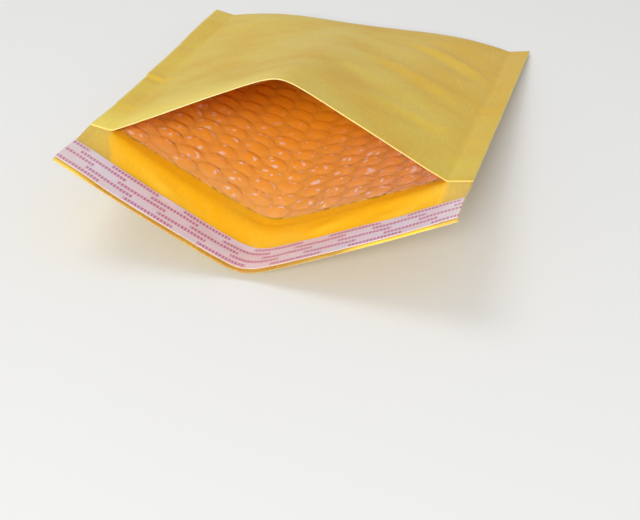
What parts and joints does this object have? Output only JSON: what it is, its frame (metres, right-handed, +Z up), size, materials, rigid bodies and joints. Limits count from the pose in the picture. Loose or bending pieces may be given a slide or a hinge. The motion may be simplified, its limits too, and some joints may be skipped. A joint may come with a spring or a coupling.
{
  "type": "padded envelope",
  "caption": "Padded mailing envelope with its mouth open: folded kraft sheet with side seams, bubble film inside, and a flap with a lined adhesive strip.",
  "frame": {"origin": "middle of the bounding box's bottom face, on the surface the envelope lies on", "axes": "+X across the envelope's width, to the right for someone looking into its mouth; +Y along its length, from the flap and the open mouth towards the folded end; +Z up"},
  "size_m": [0.1498, 0.2162, 0.0541],
  "materials": {
    "kraft": "satin",
    "film": "gloss",
    "adhesive": "satin",
    "liner": "gloss"
  },
  "bodies": {
    "root": {"kraft_envelope": "kraft", "bubble_lining": "film", "adhesive_strip": "adhesive", "release_liner": "liner"}
  },
  "joints": []
}
